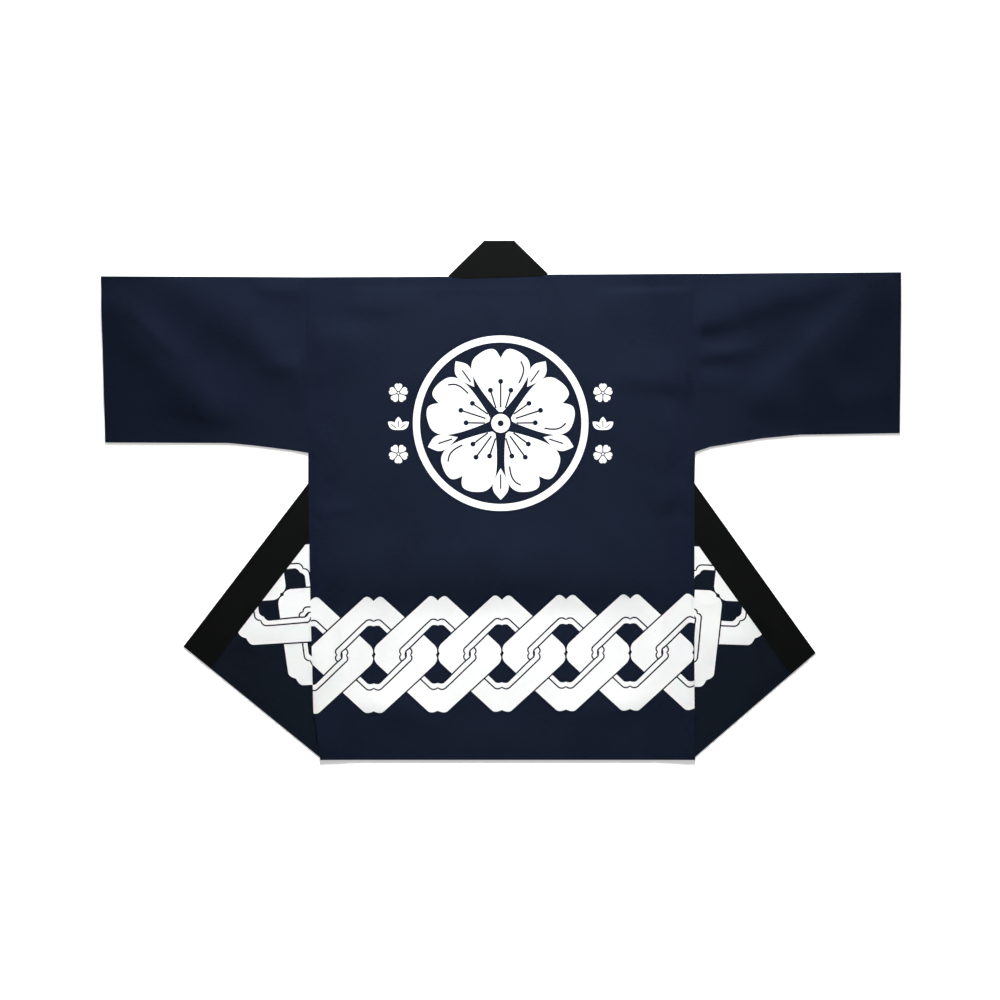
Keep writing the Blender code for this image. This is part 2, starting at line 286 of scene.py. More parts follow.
BACK_CREASES = (
    Crease(((-316, -100), (-200, -124), (-40, -119), (100, -123), (220, -124), (316, -100)),
           46, 80, 7.4),
    Crease(((-336, 258), (-280, 262), (-196, 252)), 62, 30, 5.8),
    Crease(((-330, 204), (-306, 207), (-286, 204)), 12, 9, 2),
    Crease(((-290, 326), (-200, 318), (-110, 332)), 18, 24, 2.4),
    Crease(((184, 214), (256, 197), (326, 190)), 22, 52, 4.8),
    Crease(((150, 334), (240, 340), (322, 346)), 34, 18, 3),
    Crease(((272, 168), (284, 104), (268, 44)), 15, 15, 3),
    Crease(((-298, 120), (-276, 86), (-284, 30)), 16, 20, 2.6),
    Crease(((-230, 350), (-60, 352), (90, 350)), 10, 12, 1.2),
    Crease(((-250, -326), (-160, -352), (-80, -360)), 24, 26, 2.4),
    Crease(((100, -356), (180, -344), (262, -320)), 24, 26, 2.4),
    Crease(((-322, -12), (-290, -20), (-232, -14)), 13, 16, 2),
    Crease(((-320, -50), (-280, -42), (-246, -50)), 14, 12, 1.5),
    Crease(((326, 22), (290, 6), (244, -6)), 26, 20, 3),
    Crease(((320, -48), (290, -40), (256, -48)), 12, 14, 1.6),
    Crease(((-30, 330), (10, 280), (14, 240)), 12, 16, 1),
)
GROUND_CREASES = (
    Crease(((-600, 130), (-520, 210), (-470, 330)), 16, 22, 1.2),
    Crease(((-420, 320), (-380, 230), (-390, 150)), 18, 14, 0.9),
    Crease(((590, 140), (500, 240), (470, 320)), 18, 20, 1.2),
    Crease(((440, 300), (390, 240), (400, 160)), 14, 16, 0.8),
    Crease(((-440, -250), (-370, -210), (-300, -200)), 14, 20, 1),
    Crease(((430, -240), (370, -220), (290, -230)), 16, 14, 1),
    Crease(((-230, -120), (-160, -60), (-60, -30)), 18, 24, 0.9),
    Crease(((60, 20), (150, -20), (230, -110)), 20, 18, 0.9),
    Crease(((-200, 180), (-100, 210), (-30, 190)), 16, 18, 0.7),
    Crease(((40, 150), (120, 200), (220, 190)), 16, 20, 0.8),
)


# A crease's height wavers along it, from this share of it up
CREASE_LEAST = 0.72
CREASE_WAVER = Rumple(0.56, 58.0, 2.2)
# The lower this is, the further a crease keeps its height towards its ends
CREASE_TAPER = 0.7


def crease_heights(points, creases):
    """Soft ridges along their paths, fading to nothing at both ends."""
    height = np.zeros(len(points))
    uneven = CREASE_LEAST + rumpled(points, CREASE_WAVER)
    for crease in creases:
        path = [np.array(point, float) for point in crease.path]
        lengths = [np.linalg.norm(end - start) for start, end in zip(path, path[1:])]
        nearest = np.full(len(points), np.inf)
        share = np.zeros(len(points))
        rightward = np.zeros(len(points))
        passed = 0.0
        for start, end, length in zip(path, path[1:], lengths):
            along = (end - start) / length
            run = np.clip((points - start) @ along, 0.0, length)
            off = points - start - run[:, None] * along
            distance = np.linalg.norm(off, axis=1)
            mine = distance < nearest
            nearest = np.where(mine, distance, nearest)
            share = np.where(mine, (passed + run) / sum(lengths), share)
            rightward = np.where(mine, off[:, 0] * along[1] - off[:, 1] * along[0], rightward)
            passed += length
        reach = np.where(rightward > 0, crease.right, crease.left)
        taper = np.clip(4 * share * (1 - share), 0.0, 1.0) ** CREASE_TAPER
        height += crease.height * taper * np.exp(-(nearest / reach) ** 2)
    return height * uneven


def rumpled(points, rumple):
    """Uneven small heights from 0 up to the rumple's own."""
    places = [Vector((x / rumple.size, y / rumple.size, rumple.seed)) for x, y in points]
    return rumple.height * np.array([0.5 + 0.5 * noise.noise(place) for place in places])


def calm(points, edges, margin):
    """0 at the edges, rising to 1 this far inside them."""
    room = np.min([-beyond(points, edge) for edge in edges], axis=0)
    return smooth(room / margin)


PUCKER_START = 6.0
PUCKER_REACH = 26.0


def puckers(points, seam, rumple):
    """Small dimples that the stitches pull up beside a seam, dying out away from it."""
    away = -beyond(points, seam)
    fading = np.exp(-(away / PUCKER_REACH) ** 2)
    return rumpled(points, rumple) * smooth(away / PUCKER_START) * fading


def ground(points):
    """Height of the few low ridges that run through all layers, from the underside up."""
    return crease_heights(points, GROUND_CREASES)


# -------- cutting a pattern

def stepped(path, step, closed):
    """The path again, with points no further apart than step."""
    corners = [np.array(point, float) for point in path]
    if closed:
        corners.append(corners[0])
    points = []
    for start, end in zip(corners, corners[1:]):
        count = max(1, math.ceil(np.linalg.norm(end - start) / step))
        points += [start + (end - start) * index / count for index in range(count)]
    return points if closed else [*points, corners[-1]]


def inside(points, outline):
    """True for the points inside an outline."""
    corners = np.array(outline, float)
    result = np.zeros(len(points), bool)
    box = ((points >= corners.min(axis=0)) & (points <= corners.max(axis=0))).all(axis=1)
    x, y = points[box].T
    found = np.zeros(len(x), bool)
    for (ax, ay), (bx, by) in zip(corners, np.roll(corners, -1, axis=0)):
        if ay != by:
            found ^= ((ay > y) != (by > y)) & (x < ax + (y - ay) * (bx - ax) / (by - ay))
    result[box] = found
    return result


# The points between the edges keep off them by this share of the spacing
GRID_CLEAR = 0.45
# Points closer than this are one
MERGE = 1e-4
# Twice the area of the smallest triangle that is kept
SLIVER = 1e-3


def cut_pattern(outline, scores, shapes, spacing):
    """Flat points and triangles of a pattern; scores and print outlines run along their edges."""
    points, edges = [], []

    def draw(path, closed):
        first = len(points)
        points.extend(path)
        edges.extend((first + index, first + index + 1) for index in range(len(path) - 1))
        if closed:
            edges.append((len(points) - 1, first))

    draw(stepped(outline, spacing, True), True)
    for score in scores:
        draw(stepped(score, spacing, False), False)
    for shape in shapes:
        draw(stepped(shape.points, spacing, True), True)
    tree = kdtree.KDTree(len(points))
    for index, point in enumerate(points):
        tree.insert((*point, 0.0), index)
    tree.balance()
    low, high = np.min(outline, axis=0), np.max(outline, axis=0)
    rows = np.arange(low[1] + spacing / 2, high[1], spacing * math.sqrt(0.75))
    grid = np.array([(x + spacing / 2 * (row % 2), y) for row, y in enumerate(rows)
                     for x in np.arange(low[0] + spacing / 3, high[0], spacing)])
    grid = grid[inside(grid, outline)]
    points += [point for point in grid if tree.find((*point, 0.0))[2] > GRID_CLEAR * spacing]
    flat, _, triangles, *_ = geometry.delaunay_2d_cdt(
        [Vector(point) for point in points], edges, [], 0, MERGE, False)
    flat = np.array([point[:] for point in flat])
    triangles = np.array(triangles)
    corners = flat[triangles]
    first, second = corners[:, 1] - corners[:, 0], corners[:, 2] - corners[:, 0]
    area = first[:, 0] * second[:, 1] - first[:, 1] * second[:, 0]
    triangles[area < 0] = triangles[area < 0][:, ::-1]
    middle = corners.mean(axis=1)
    kept = triangles[inside(middle, outline) & (abs(area) > SLIVER)]
    used, index = np.unique(kept, return_inverse=True)
    return flat[used], index.reshape(-1, 3)


def normals_of(places, triangles):
    """Each point's own normal, from the triangles round it."""
    corners = places[triangles]
    across = np.cross(corners[:, 1] - corners[:, 0], corners[:, 2] - corners[:, 0])
    normals = np.zeros_like(places)
    for corner in range(3):
        np.add.at(normals, triangles[:, corner], across)
    return normals / np.linalg.norm(normals, axis=1)[:, None]


# -------- making pieces

SHARP_EDGE = math.radians(60)
INK_SUNK = 0.12
INK_PROUD = 0.14


def add_piece(name, places, faces, material):
    """A piece of the coat with smooth faces between these places."""
    mesh = bpy.data.meshes.new(name)
    mesh.from_pydata((places * MM).tolist(), [], faces)
    mesh.shade_smooth()
    mesh.materials.append(material)
    piece = bpy.data.objects.new(name, mesh)
    bpy.context.scene.collection.objects.link(piece)
    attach(piece, "root")
    return piece


def own_corners(triangles):
    """The triangles with every fan round a point given its own copy of that point."""
    home = list(range(3 * len(triangles)))

    def root(corner):
        while home[corner] != corner:
            home[corner] = home[home[corner]]
            corner = home[corner]
        return corner

    seen = {}
    for number, triangle in enumerate(triangles.tolist()):
        for corner in range(3):
            start, end = corner, (corner + 1) % 3
            key = frozenset((triangle[start], triangle[end]))
            here = {triangle[start]: 3 * number + start, triangle[end]: 3 * number + end}
            other = seen.setdefault(key, here)
            if other is not here:
                for point, corner_of in here.items():
                    home[root(corner_of)] = root(other[point])
    roots = [root(corner) for corner in range(3 * len(triangles))]
    kept, index = np.unique(roots, return_inverse=True)
    return triangles.reshape(-1)[kept], index.reshape(-1, 3)


def closed_shell(name, flat, triangles, tops, bottoms, material):
    """A closed thin solid between two surfaces that share their triangles.

    Each point keeps its place on the flat pattern as its grain, for the weave to follow.
    """
    count = len(tops)
    edges = np.concatenate([triangles[:, (0, 1)], triangles[:, (1, 2)], triangles[:, (2, 0)]])
    rim = edges[~np.isin(edges @ (count, 1), edges[:, ::-1] @ (count, 1))]
    walls = np.column_stack([rim[:, 1], rim[:, 0], rim[:, 0] + count, rim[:, 1] + count])
    faces = [*triangles.tolist(), *(triangles[:, ::-1] + count).tolist(), *walls.tolist()]
    piece = add_piece(name, np.concatenate([tops, bottoms]), faces, material)
    piece.data.set_sharp_from_angle(angle=SHARP_EDGE)
    grain = piece.data.attributes.new("grain", "FLOAT_VECTOR", "POINT")
    threads = np.zeros((2 * count, 3))
    threads[:, :2] = np.concatenate([flat, flat]) * MM
    grain.data.foreach_set("vector", threads.ravel())
    return piece


def sew_piece(name, outline, scores, shapes, spacing, wall, place, material, sign=1):
    """Cut a pattern, lay it with place() and give it its wall; keeps what its print needs."""
    flat, triangles = cut_pattern(outline, scores, shapes, spacing)
    if sign < 0:
        triangles = triangles[:, ::-1]
    middle = place(flat)
    normals = normals_of(middle, triangles)
    half = normals * wall / 2
    piece = closed_shell(name, flat, triangles, middle + half, middle - half, material)
    return piece, (flat, triangles, middle, normals)


def print_on(name, cut, wall, face, shapes, material):
    """A film of ink on one face of a cloth, wherever the last shape drawn is ink."""
    flat, triangles, middle, normals = cut
    centres = flat[triangles].mean(axis=1)
    inked = np.zeros(len(triangles), bool)
    for shape in shapes:
        inked[inside(centres, shape.points)] = shape.ink
    kept, index = own_corners(triangles[inked])
    outward = normals[kept] * face
    surface = middle[kept] + outward * wall / 2
    if face < 0:
        index = index[:, ::-1]
    return closed_shell(name, flat[kept], index, surface + outward * INK_PROUD,
                        surface - outward * INK_SUNK, material)


CLOTH_PITCH = 3.2
BAND_PITCH = 3.4
# Half a stitch's length as a share of the pitch
HALF_STITCH = 0.36
STITCH_WIDTH = 0.5
STITCH_PROUD = 0.28
STITCH_SUNK = 0.2
# Corners of a stitch: both ends, both sides, its top and its foot
STITCH_FACES = ((0, 2, 4), (2, 1, 4), (1, 3, 4), (3, 0, 4),
                (2, 0, 5), (1, 2, 5), (3, 1, 5), (0, 3, 5))


def left_of(steps):
    """Unit steps to the left of these."""
    left = np.column_stack([-steps[:, 1], steps[:, 0]])
    return left / np.linalg.norm(left, axis=1)[:, None]


def sew_stitches(name, rows, place, reach, pitch, material):
    """Rows of short stitches, each a grain-shaped bead of thread lying on both faces."""
    vertices, faces = [], []
    for row in rows:
        path = np.array(stepped(row, pitch, False))
        starts, ends = path[:-1], path[1:]
        step = (ends - starts) * HALF_STITCH
        middles = (starts + ends) / 2
        centre = place(middles)
        head = place(middles + step) - centre
        cross = (place(middles + left_of(step) * STITCH_WIDTH) - centre) / 2
        lift = np.cross(head, cross)
        lift /= np.linalg.norm(lift, axis=1)[:, None]
        for face in (1, -1):
            seat = centre + lift * face * reach
            trios = [trio if face < 0 else trio[::-1] for trio in STITCH_FACES]
            for at, forward, sideways, up in zip(seat, head, cross, lift * face):
                faces += [tuple(len(vertices) + corner for corner in trio) for trio in trios]
                vertices += [at - forward, at + forward, at + sideways, at - sideways,
                             at + up * STITCH_PROUD, at - up * STITCH_SUNK]
    return add_piece(name, np.array(vertices), faces, material)


# -------- materials

def linear(colour):
    """A #rrggbb colour as linear red, green, blue and full alpha."""
    shares = [int(colour[at:at + 2], 16) / 255 for at in (1, 3, 5)]
    return (*[((share + 0.055) / 1.055) ** 2.4 if share > 0.04045 else share / 12.92
              for share in shares], 1.0)


def set_sockets(node, values):
    for name, value in values.items():
        node.inputs[name].default_value = value


def add_node(material, kind, settings=None, sockets=None, links=None):
    """Add a node with its settings, its sockets' values and the links into it."""
    tree = material.node_tree
    node = tree.nodes.new(kind)
    for name, value in (settings or {}).items():
        setattr(node, name, value)
    set_sockets(node, sockets or {})
    for name, source in (links or {}).items():
        tree.links.new(source, node.inputs[name])
    return node


def new_material(name):
    """An empty material and its surface."""
    material = bpy.data.materials.new(name)
    material.use_nodes = True
    return material, material.node_tree.nodes["Principled BSDF"]


# A wave texture turns by this many radians over a metre at scale 1
WAVE_TURN = 20
THREAD_DEPTH = 0.3 * MM
# Slubs, the thicker stretches of a thread, are about 11 mm long and 2.4 mm apart
SLUBS_PER_METRE = (90.0, 420.0, 1.0)
SLUB_HEIGHT = 0.5
# The dye drifts in patches of about 110 mm
PATCHES_PER_METRE = 9.0
SHADES_FROM, SHADES_TO = 0.62, 1.0


def woven_cloth(name, shades, thread=1.1, roughness=0.9, relief=0.25, sheen=0.01, specular=0.05):
    """A cotton plain weave, dyed in the piece.

    Dyed cotton is matt with a faint bloom of fibres, and its shade drifts a little from thread
    to thread. Its threads are about 0.5 mm apart; they are drawn at the given spacing, coarser
    than that, so that they show. A wave runs over two threads, as the weave repeats.
    """
    material, surface = new_material(name)
    grain = add_node(material, "ShaderNodeAttribute", {"attribute_name": "grain"})
    place = grain.outputs["Vector"]
    wave_scale = 1000.0 / thread / WAVE_TURN * math.pi
    warp, weft = [add_node(material, "ShaderNodeTexWave",
                           {"wave_type": "BANDS", "bands_direction": axis, "wave_profile": "SIN"},
                           {"Scale": wave_scale, "Distortion": 0.6, "Detail": 1.0,
                            "Detail Scale": 0.4},
                           {"Vector": place})
                  for axis in "XY"]
    crossed = add_node(material, "ShaderNodeMath", {"operation": "MULTIPLY"}, None,
                       {0: warp.outputs["Fac"], 1: weft.outputs["Fac"]})
    stretch = add_node(material, "ShaderNodeMapping", None, {"Scale": SLUBS_PER_METRE},
                       {"Vector": place})
    slubs = add_node(material, "ShaderNodeTexNoise", None,
                     {"Scale": 1.0, "Detail": 3.0, "Roughness": 0.6},
                     {"Vector": stretch.outputs["Vector"]})
    drift = add_node(material, "ShaderNodeTexNoise", None,
                     {"Scale": PATCHES_PER_METRE, "Detail": 2.0, "Roughness": 0.5},
                     {"Vector": place})
    mixed = add_node(material, "ShaderNodeMath", {"operation": "ADD"}, None,
                     {0: slubs.outputs["Fac"], 1: drift.outputs["Fac"]})
    shade = add_node(material, "ShaderNodeValToRGB", None, None, {"Fac": mixed.outputs["Value"]})
    ends = zip(shade.color_ramp.elements, (SHADES_FROM, SHADES_TO), shades)
    for element, position, colour in ends:
        element.position = position
        element.color = linear(colour)
    heights = add_node(material, "ShaderNodeMath", {"operation": "MULTIPLY_ADD"}, {1: SLUB_HEIGHT},
                       {0: slubs.outputs["Fac"], 2: crossed.outputs["Value"]})
    bump = add_node(material, "ShaderNodeBump", None,
                    {"Strength": relief, "Distance": THREAD_DEPTH},
                    {"Height": heights.outputs["Value"]})
    material.node_tree.links.new(shade.outputs["Color"], surface.inputs["Base Color"])
    material.node_tree.links.new(bump.outputs["Normal"], surface.inputs["Normal"])
    set_sockets(surface, {"Roughness": roughness, "Specular IOR Level": specular,
                          "Sheen Weight": sheen, "Sheen Roughness": 0.5})
    return material


# Navy sheeting dyed in the piece: dark and matt, with hardly a highlight
navy_cotton = woven_cloth("navy_cotton_sheeting", ("#0d1421", "#121928"))
# The same sheeting on the fronts, drawn a shade darker than on the back
deep_navy_cotton = woven_cloth("deep_navy_cotton_sheeting", ("#0b111a", "#0f1620"))
# The band's cotton, of a thicker thread, so black that only its weave catches light
black_cotton = woven_cloth("black_cotton_band", ("#080a09", "#0b0d0c"), thread=1.3,
                           roughness=0.92, relief=0.3)
# Pigment ink fills the weave: off-white, smoother, with a trace of gloss and no bloom
white_ink = woven_cloth("white_pigment_print", ("#e4e6e5", "#eaebea"), roughness=0.7,
                        relief=0.12, sheen=0.0, specular=0.3)
# Twisted cotton thread in its cloth's colour, drawn tighter and smoother than the cloth
navy_thread = woven_cloth("navy_sewing_thread", ("#0d1421", "#121928"), thread=0.9,
                          roughness=0.8, relief=0.1, sheen=0.0)
black_thread = woven_cloth("black_sewing_thread", ("#090a0a", "#0e100f"), thread=0.9,
                           roughness=0.8, relief=0.1, sheen=0.0)


# -------- chain print

LINK_PITCH = 105.5
LINE = 2.4
BACK_LINKS = 7
BACK_FIRST_LINK = (-315.0, -256.0)
BACK_LINK_CLIMB = 1.0
# A front's links count from its fold outward; the one before the fold is hidden
FRONT_LINKS = range(-1, 4)
# A quarter of a link from its middle to its side corner, as (sideways, up); the notch in the
# middle is deep at a link's head and shallow at its foot
LINK_FLANK = ((19, 91), (99.4, 17), (102.8, 12.4), (104.4, 7.4), (104.2, 3.4), (102.2, 0))
LINK_OUTER = {
    1: ((0, 88.6), (4.3, 93), (9.6, 96.2), (14.6, 95.2), *LINK_FLANK),
    -1: ((0, 92.8), (4.3, 94.6), (9.6, 95.8), (14.6, 94.9), *LINK_FLANK),
}
LINK_RIM = ((0, 55.2), (4, 57.6), (8.8, 58), (13.4, 55.6), (57.4, 12.8),
            (61.4, 9.4), (62.9, 6.2), (62.5, 2.6), (60.4, 0))
LINK_INNER = ((0, 47.2), (3.8, 48.4), (9, 48.2), (12.4, 45.6),
              (45.8, 12.2), (51, 8.2), (54.2, 5), (54.7, 0))


def rounded(path, times):
    """The path with its corners cut off this many times over, its two ends kept."""
    points = np.array(path, float)
    for _ in range(times):
        starts, ends = points[:-1], points[1:]
        cuts = np.stack([0.75 * starts + 0.25 * ends, 0.25 * starts + 0.75 * ends], axis=1)
        points = np.concatenate([points[:1], cuts.reshape(-1, 2)[1:-1], points[-1:]])
    return points


def moved_out(path, distance):
    """The path moved sideways, away from the link's middle where distance is above 0."""
    points = rounded(path, 1)
    moved = points + left_of(np.gradient(points, axis=0)) * distance
    moved[0, 0] = 0.0
    moved[-1, 1] = 0.0
    return moved


def quarter(centre, across, upward, outer, inner, ink):
    """One quarter of a link, between an outer and an inner path."""
    points = np.concatenate([outer, inner[::-1]]) * (across, upward) + centre
    return Shape(points, ink)


def chain(centres):
    """Interlocked links; the arms that rise to the right pass over the others."""
    under, over = [], []
    inner = moved_out(LINK_INNER, 0.0)
    rim = moved_out(LINK_RIM, LINE / 2), moved_out(LINK_RIM, -LINE / 2)
    margin = moved_out(LINK_INNER, -LINE)
    for centre in centres:
        for upward, outline in LINK_OUTER.items():
            outer = moved_out(outline, 0.0)
            under.append(quarter(centre, upward, upward, outer, inner, True))
            under.append(quarter(centre, upward, upward, *rim, False))
            over.append(quarter(centre, -upward, upward, moved_out(outline, LINE), margin, False))
            over.append(quarter(centre, -upward, upward, outer, inner, True))
            over.append(quarter(centre, -upward, upward, *rim, False))
    return under + over


def back_chain():
    first = np.array(BACK_FIRST_LINK)
    return chain([first + np.array((LINK_PITCH, BACK_LINK_CLIMB)) * index
                  for index in range(BACK_LINKS)])


def front_chain(side):
    """The links of one front on its flat pattern, laid along its hem."""
    hem_start = np.array(side["turn_foot"])
    along_hem = np.array(side["turned_corner"]) - hem_start
    along_hem /= np.linalg.norm(along_hem)
    up_panel = np.array((-along_hem[1], along_hem[0]))
    right = side["sign"]
    first, height = side["first_link"]
    centres = [np.array((first + right * LINK_PITCH * index, height)) for index in FRONT_LINKS]
    shapes = []
    for shape in chain(centres):
        laid = (hem_start + (shape.points[:, :1] * right) * along_hem
                + shape.points[:, 1:] * up_panel)
        shapes.append(Shape(unfold(laid, turn_line(side), TURN_RADIUS), shape.ink))
    return shapes


# -------- blossom prints

BADGE = np.array((-0.5, 126.3))
BADGE_OUTER = 144.4
BADGE_INNER = 132.9
BADGE_CORNERS = 120
PETALS = 5


def ring_of(centre, radius, count):
    turns = np.arange(count) * 2 * math.pi / count
    return centre + radius * np.column_stack([np.cos(turns), np.sin(turns)])


def turned(points, angle):
    """Points turned about their origin, so that what points up then leans by the angle."""
    cosine, sine = math.cos(angle), math.sin(angle)
    return np.asarray(points) @ np.array(((cosine, -sine), (sine, cosine)))


# Right halves, from the middle of the blossom outward
PETAL = ((0, 16), (9, 25), (22, 41), (36, 60), (46, 78), (49, 92),
         (46, 105), (36, 114), (24, 121), (12, 123), (5, 117), (0, 107))
LEAF = ((0, 74), (8, 88), (13.6, 101), (12.4, 112), (5, 121), (0, 126))
LEAF_VEIN = ((0, 84), (0, 108))
LEAF_VEIN_WIDTH = 2.4
PETAL_FOLD = ((30, 66), (37, 80), (38, 92), (33, 102))
FINE_LINE = 2.6
# Each petal's stamens: their lean and how far they reach; a dot sits past each end
STAMENS = ((-0.30, 54.0), (0.0, 66.0), (0.30, 54.0))
STAMEN_FOOT = 26
# A dot's radius and corners
STAMEN_DOT = (4.2, 14)
STAMEN_DOT_PAST = 3.0
# The blossom's heart: radius, corners and ink of its discs, the largest first
HEART = ((19.0, 30, False), (15.5, 30, True), (5.0, 16, False))


def both_hands(path, times):
    """A closed outline from its right half, its corners rounded."""
    right = rounded(path, times)
    return np.concatenate([right, right[-2:0:-1] * (-1, 1)])


def vein(path, width):
    """A thin strip along a path."""
    points = rounded(path, 2)
    aside = left_of(np.gradient(points, axis=0)) * width / 2
    return np.concatenate([points + aside, (points - aside)[::-1]])


def badge():
    """An open five-petalled blossom with its leaves, in a ring."""
    shapes = [Shape(ring_of(BADGE, BADGE_OUTER, BADGE_CORNERS), True),
              Shape(ring_of(BADGE, BADGE_INNER, BADGE_CORNERS), False)]
    for index in range(PETALS):
        lean = (index + 0.5) * math.tau / PETALS
        shapes.append(Shape(BADGE + turned(both_hands(LEAF, 2), lean), True))
        shapes.append(Shape(BADGE + turned(vein(LEAF_VEIN, LEAF_VEIN_WIDTH), lean), False))
    for index in range(PETALS):
        lean = index * math.tau / PETALS
        shapes.append(Shape(BADGE + turned(both_hands(PETAL, 2), lean), True))
        for angle, reach in STAMENS:
            thread = turned(vein(((0, STAMEN_FOOT), (0, reach)), FINE_LINE), lean + angle)
            tip = turned(((0.0, reach + STAMEN_DOT_PAST),), lean + angle)[0]
            shapes.append(Shape(BADGE + thread, False))
            shapes.append(Shape(ring_of(BADGE + tip, *STAMEN_DOT), False))
        shapes.append(Shape(BADGE + turned(vein(PETAL_FOLD, FINE_LINE), lean), False))
    return shapes + [Shape(ring_of(BADGE, radius, corners), ink) for radius, corners, ink in HEART]


# The small blossoms and leaf sprays beside the badge; shares are of their size
PETAL_LENGTH = 121.0
SMALL_HEART = ((0.2, 12, False), (0.11, 10, True))
SMALL_LEAF = np.array(((0, 0.1), (0.22, 0.4), (0.25, 0.66), (0.12, 0.9), (0, 1.0)))
SMALL_LEAF_LEANS = (-0.9, 0.0, 0.9)
SMALL_LEAF_FOOT = 0.1
SMALL_RIB = (0.2, 0.62)
SMALL_RIB_WIDTH = 1.4
SPRAY_DROP = 0.45
SMALL_OUT = (-168.7, 167.7)
BLOSSOM_SIZE = 15.5
SPRAY_SIZE = 24.0
UPPER_BLOSSOM = 176.0
SPRAY = 126.0
LOWER_BLOSSOM = 76.0


def small_blossom(centre, lean):
    shapes = []
    scale = BLOSSOM_SIZE / PETAL_LENGTH
    for index in range(PETALS):
        petal = turned(both_hands(PETAL, 1), lean + index * math.tau / PETALS) * scale
        shapes.append(Shape(centre + petal, True))
    return shapes + [Shape(ring_of(centre, BLOSSOM_SIZE * share, corners), ink)
                     for share, corners, ink in SMALL_HEART]


def leaf_spray(centre):
    shapes = []
    foot = centre - (0, SPRAY_SIZE * SPRAY_DROP)
    low, high = (share * SPRAY_SIZE for share in SMALL_RIB)
    for lean in SMALL_LEAF_LEANS:
        blade = both_hands(SMALL_LEAF * SPRAY_SIZE, 1) - (0, SPRAY_SIZE * SMALL_LEAF_FOOT)
        shapes.append(Shape(foot + turned(blade, lean), True))
        rib = vein(((0, low), (0, high)), SMALL_RIB_WIDTH)
        shapes.append(Shape(foot + turned(rib, lean), False))
    return shapes


def small_prints():
    shapes = []
    for out in SMALL_OUT:
        shapes += small_blossom(np.array((out, UPPER_BLOSSOM)), 0.0)
        shapes += leaf_spray(np.array((out, SPRAY)))
        shapes += small_blossom(np.array((out, LOWER_BLOSSOM)), math.pi / PETALS)
    return shapes


# -------- sleeves

# How close a cloth's points are, where it shows and where most of it is hidden
SPACING = 5.0
HIDDEN_SPACING = 7.0
SLEEVE_RUMPLES = (Rumple(2.6, 70.0, 3.1), Rumple(0.7, 24.0, 7.7))
SLEEVE_PUCKER = Rumple(1.5, 16.0, 9.4)
# How far inside the edges creases, rumples and puckers reach their full height
SLEEVE_CALM = 11.0
UNDERARM_CALM = 44.0
RUMPLE_CALM = 60.0
PUCKER_CALM = 6.0
CUFF_STITCHES_IN = 14.0


def with_sign(points, heights, sign):
    """Places on the coat, mirrored to the left where the sign is -1."""
    return np.column_stack([points[:, 0] * sign, points[:, 1], heights])


def sew_sleeve(side_name):
    """One cloth folded over the shoulder line, its two layers meeting under the arm."""
    side = SIDES[side_name]
    top_edge = line_through(side["armhole_top"], side["cuff_top"], FAR_UP)
    top_line = shifted(top_edge, -(ROLL_RADIUS + CLOTH / 2))
    seam = shifted(armhole_line(side), SEAM_GAP)
    cuff_line = line_through(side["cuff_top"], side["cuff_low"], FAR_OUT)
    underarm_line = line_through(side["underarm"][0], side["cuff_low"], FAR_DOWN)
    armpit = np.array(side["armpit"]) + OUT * SEAM_GAP
    cuff = crossing(top_line, cuff_line)
    shoulder = crossing(top_line, seam)
    under = [armpit, *reversed(side["underarm"]), side["cuff_low"]]
    upper = [shoulder, *under, cuff]
    lower = [unfold(point, top_line, ROLL_RADIUS) for point in (cuff, *under[::-1], shoulder)]
    edges = (top_edge, Line(seam.point, -seam.normal), underarm_line,
             line_through(side["armpit"], side["underarm"][0], FAR_DOWN))
    sign = side["sign"]

    def place(points):
        lying, drop = fold_under(points, top_line, ROLL_RADIUS)
        heights = CLOTH / 2 + 2 * ROLL_RADIUS - drop + LIFT * lift_of_turned(lying, side)
        laid = lying * (sign, 1)
        heights = heights + ground(laid)
        soft = crease_heights(laid, SLEEVE_CREASES[side_name])
        soft *= calm(lying, edges[:2], SLEEVE_CALM)
        soft *= calm(lying, edges[2:], UNDERARM_CALM)
        uneven = sum(rumpled(laid, rumple) for rumple in SLEEVE_RUMPLES)
        soft += uneven * calm(lying, edges, RUMPLE_CALM)
        soft += puckers(lying, edges[1], SLEEVE_PUCKER) * calm(lying, edges, PUCKER_CALM)
        heights += np.where(drop == 0.0, soft, 0.0)
        return with_sign(lying, heights, sign)

    scores = fold_scores(top_line, ROLL_RADIUS)
    piece, _ = sew_piece(f"sleeve_{side_name}_cloth", upper + lower, scores, [], SPACING,
                         CLOTH_WALL, place, navy_cotton, sign)
    row = ends_of(shifted(cuff_line, -CUFF_STITCHES_IN), top_line, underarm_line)
    rows = [row, [unfold(point, top_line, ROLL_RADIUS) for point in row]]
    stitches = sew_stitches(f"sleeve_{side_name}_cuff_stitches", rows, place,
                            CLOTH_WALL / 2, CLOTH_PITCH, navy_thread)
    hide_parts("sleeve_" + side_name)
    return piece, stitches


# -------- fronts

FRONT_STITCHES_IN = 13.0
STITCHES_OFF_BAND = 2.0


